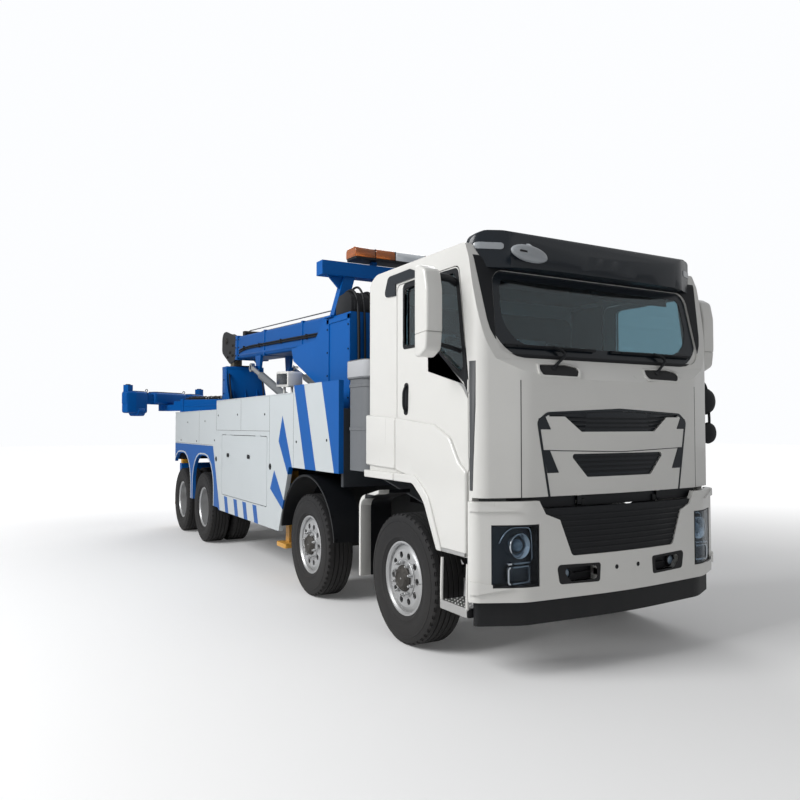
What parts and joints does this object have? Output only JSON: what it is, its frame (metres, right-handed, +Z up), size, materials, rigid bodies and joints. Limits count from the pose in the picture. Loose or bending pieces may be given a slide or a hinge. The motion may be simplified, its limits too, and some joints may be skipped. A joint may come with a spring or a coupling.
{
  "type": "tow truck",
  "caption": "Heavy recovery truck with twin steering axles, tandem drive, tilting cab, telescopic boom, winches, outriggers and a swinging underlift.",
  "frame": {"origin": "on the ground under the middle of the overall box, with the underlift swung to the right as pictured", "axes": "+X forward, +Y to the left side, +Z up"},
  "size_m": [11.8296, 3.4401, 3.715],
  "materials": {
    "tyre_rubber": "matt",
    "rim_silver": "satin",
    "chassis_black": "satin",
    "engine_iron": "rough",
    "cab_white": "gloss",
    "trim_black": "matt",
    "lamp_clear": "clear gloss",
    "guard_black": "satin",
    "stack_grey": "satin",
    "body_white": "gloss",
    "deck_dark": "satin",
    "recovery_blue": "gloss",
    "amber_lens": "gloss",
    "glass_tint": "clear",
    "gloss_black": "gloss",
    "mirror_white": "gloss",
    "seat_fabric": "woven",
    "dash_plastic": "matt",
    "trim_metal_black": "satin",
    "hook_iron": "rough",
    "cylinder_grey": "gloss",
    "rod_chrome": "polished",
    "leg_yellow": "gloss"
  },
  "bodies": {
    "chassis": {"axles": "chassis_black", "springs": "chassis_black", "frame": "chassis_black", "engine": "engine_iron", "bumper": "cab_white", "front_valance": "trim_black", "lamps": "lamp_clear", "steps_and_guards": "guard_black", "intake_stack": "stack_grey", "body_sides": "body_white", "deck": "deck_dark", "mast": "recovery_blue", "light_bar": "amber_lens", "tail_frame": "recovery_blue"},
    "cab": {"cab_shell": "cab_white", "windscreen": "glass_tint", "cab_trim": "gloss_black", "seats": "seat_fabric", "dashboard": "dash_plastic"},
    "door_left": {"door_left": "cab_white", "door_glass_left": "glass_tint", "mirror_left": "mirror_white"},
    "locker_lid_left": {"locker_lid_left": "body_white"},
    "door_right": {"door_right": "cab_white", "door_glass_right": "glass_tint", "mirror_right": "mirror_white"},
    "locker_lid_right": {"locker_lid_right": "body_white"},
    "knuckle_1_left": {"knuckle_1_left": "chassis_black"},
    "wheel_1_left": {"tyre_1_left": "tyre_rubber", "rim_1_left": "rim_silver"},
    "knuckle_1_right": {"knuckle_1_right": "chassis_black"},
    "wheel_1_right": {"tyre_1_right": "tyre_rubber", "rim_1_right": "rim_silver"},
    "knuckle_2_left": {"knuckle_2_left": "chassis_black"},
    "wheel_2_left": {"tyre_2_left": "tyre_rubber", "rim_2_left": "rim_silver"},
    "knuckle_2_right": {"knuckle_2_right": "chassis_black"},
    "wheel_2_right": {"tyre_2_right": "tyre_rubber", "rim_2_right": "rim_silver"},
    "wheel_3_left": {"tyres_3_left": "tyre_rubber", "rims_3_left": "rim_silver"},
    "wheel_3_right": {"tyres_3_right": "tyre_rubber", "rims_3_right": "rim_silver"},
    "wheel_4_left": {"tyres_4_left": "tyre_rubber", "rims_4_left": "rim_silver"},
    "wheel_4_right": {"tyres_4_right": "tyre_rubber", "rims_4_right": "rim_silver"},
    "boom": {"boom": "recovery_blue"},
    "boom_inner": {"boom_inner": "recovery_blue", "boom_head": "trim_metal_black", "hook_block": "hook_iron"},
    "lift_barrels": {"lift_barrels": "cylinder_grey"},
    "lift_rods": {"lift_rods": "rod_chrome"},
    "winch_drums": {"winch_drums": "chassis_black"},
    "underlift_carriage": {"underlift_carriage": "recovery_blue"},
    "underlift_arm": {"underlift_arm": "recovery_blue"},
    "underlift_stinger": {"underlift_stinger": "recovery_blue"},
    "underlift_crossbar": {"underlift_crossbar": "recovery_blue"},
    "front_legs": {"front_legs": "leg_yellow"},
    "rear_legs": {"rear_legs": "leg_yellow"}
  },
  "joints": [
    {"name": "cab_tilt", "type": "hinge", "parent": "chassis", "child": "cab", "pos_m": [5.80707, 0.19927, 1.215], "axis": [0, 1, 0], "range_deg": [0, 45]},
    {"name": "door_left_hinge", "type": "hinge", "parent": "cab", "child": "door_left", "pos_m": [5.58207, 1.40427, 1.5], "axis": [0, 0, -1], "range_deg": [0, 70]},
    {"name": "locker_left_hinge", "type": "hinge", "parent": "chassis", "child": "locker_lid_left", "pos_m": [0.54707, 1.44427, 1.64], "axis": [1, 0, 0], "range_deg": [0, 85]},
    {"name": "door_right_hinge", "type": "hinge", "parent": "cab", "child": "door_right", "pos_m": [5.58207, -1.00573, 1.5], "axis": [0, 0, 1], "range_deg": [0, 70]},
    {"name": "locker_right_hinge", "type": "hinge", "parent": "chassis", "child": "locker_lid_right", "pos_m": [0.54707, -1.04573, 1.64], "axis": [-1, 0, 0], "range_deg": [0, 85]},
    {"name": "steer_1_left", "type": "hinge", "parent": "chassis", "child": "knuckle_1_left", "pos_m": [4.62207, 1.04927, 0.525], "axis": [0, 0, 1], "range_deg": [-35, 35]},
    {"name": "spin_1_left", "type": "hinge", "parent": "knuckle_1_left", "child": "wheel_1_left", "pos_m": [4.62207, 1.26527, 0.525], "axis": [0, 1, 0], "continuous": true},
    {"name": "steer_1_right", "type": "hinge", "parent": "chassis", "child": "knuckle_1_right", "pos_m": [4.62207, -0.65073, 0.525], "axis": [0, 0, 1], "range_deg": [-35, 35]},
    {"name": "spin_1_right", "type": "hinge", "parent": "knuckle_1_right", "child": "wheel_1_right", "pos_m": [4.62207, -0.86673, 0.525], "axis": [0, 1, 0], "continuous": true},
    {"name": "steer_2_left", "type": "hinge", "parent": "chassis", "child": "knuckle_2_left", "pos_m": [2.67207, 1.04927, 0.525], "axis": [0, 0, 1], "range_deg": [-25, 25]},
    {"name": "spin_2_left", "type": "hinge", "parent": "knuckle_2_left", "child": "wheel_2_left", "pos_m": [2.67207, 1.26527, 0.525], "axis": [0, 1, 0], "continuous": true},
    {"name": "steer_2_right", "type": "hinge", "parent": "chassis", "child": "knuckle_2_right", "pos_m": [2.67207, -0.65073, 0.525], "axis": [0, 0, 1], "range_deg": [-25, 25]},
    {"name": "spin_2_right", "type": "hinge", "parent": "knuckle_2_right", "child": "wheel_2_right", "pos_m": [2.67207, -0.86673, 0.525], "axis": [0, 1, 0], "continuous": true},
    {"name": "spin_3_left", "type": "hinge", "parent": "chassis", "child": "wheel_3_left", "pos_m": [-1.42793, 1.29627, 0.525], "axis": [0, 1, 0], "continuous": true},
    {"name": "spin_3_right", "type": "hinge", "parent": "chassis", "child": "wheel_3_right", "pos_m": [-1.42793, -0.89773, 0.525], "axis": [0, 1, 0], "continuous": true},
    {"name": "spin_4_left", "type": "hinge", "parent": "chassis", "child": "wheel_4_left", "pos_m": [-2.77793, 1.29627, 0.525], "axis": [0, 1, 0], "continuous": true},
    {"name": "spin_4_right", "type": "hinge", "parent": "chassis", "child": "wheel_4_right", "pos_m": [-2.77793, -0.89773, 0.525], "axis": [0, 1, 0], "continuous": true},
    {"name": "boom_lift", "type": "hinge", "parent": "chassis", "child": "boom", "pos_m": [1.77207, 0.19927, 2.62], "axis": [0, 1, 0], "range_deg": [0, 45]},
    {"name": "boom_extend", "type": "slide", "parent": "boom", "child": "boom_inner", "axis": [-0.9994, 0, 0.0349], "range_m": [0, 2]},
    {"name": "lift_barrel_tilt", "type": "hinge", "parent": "chassis", "child": "lift_barrels", "pos_m": [0.17207, 0.19927, 2.06], "axis": [0, 1, 0], "range_deg": [0, 58]},
    {"name": "lift_rod_slide", "type": "slide", "parent": "lift_barrels", "child": "lift_rods", "axis": [-0.9462, 0, 0.3237], "range_m": [0, 1.205]},
    {"name": "winch_spin", "type": "hinge", "parent": "chassis", "child": "winch_drums", "pos_m": [2.20207, 0.19927, 2.16], "axis": [0, 1, 0], "continuous": true},
    {"name": "underlift_lift", "type": "slide", "parent": "chassis", "child": "underlift_carriage", "axis": [0, 0, -1], "range_m": [0, 1.35]},
    {"name": "underlift_swing", "type": "hinge", "parent": "underlift_carriage", "child": "underlift_arm", "pos_m": [-3.82793, 0.19927, 2.15], "axis": [0, 0, 1], "range_deg": [-75, 5]},
    {"name": "underlift_extend", "type": "slide", "parent": "underlift_arm", "child": "underlift_stinger", "axis": [-0.8192, -0.5736, 0], "range_m": [0, 0.7]},
    {"name": "crossbar_swivel", "type": "hinge", "parent": "underlift_stinger", "child": "underlift_crossbar", "pos_m": [-5.25326, -0.79875, 2.15], "axis": [0, 0, 1], "range_deg": [-40, 40]},
    {"name": "front_legs_slide", "type": "slide", "parent": "chassis", "child": "front_legs", "axis": [0, 0, -1], "range_m": [0, 0.36]},
    {"name": "rear_legs_slide", "type": "slide", "parent": "chassis", "child": "rear_legs", "axis": [0, 0, -1], "range_m": [0, 0.36]}
  ],
  "couplings": [
    {"joint": "steer_1_right", "follows": "steer_1_left", "ratio": 1},
    {"joint": "steer_2_left", "follows": "steer_1_left", "ratio": 0.7},
    {"joint": "steer_2_right", "follows": "steer_1_left", "ratio": 0.7},
    {"joint": "lift_barrel_tilt", "follows": "boom_lift", "ratio": 1.2543},
    {"joint": "lift_rod_slide", "follows": "boom_lift", "m_per_rad": 1.5213}
  ]
}
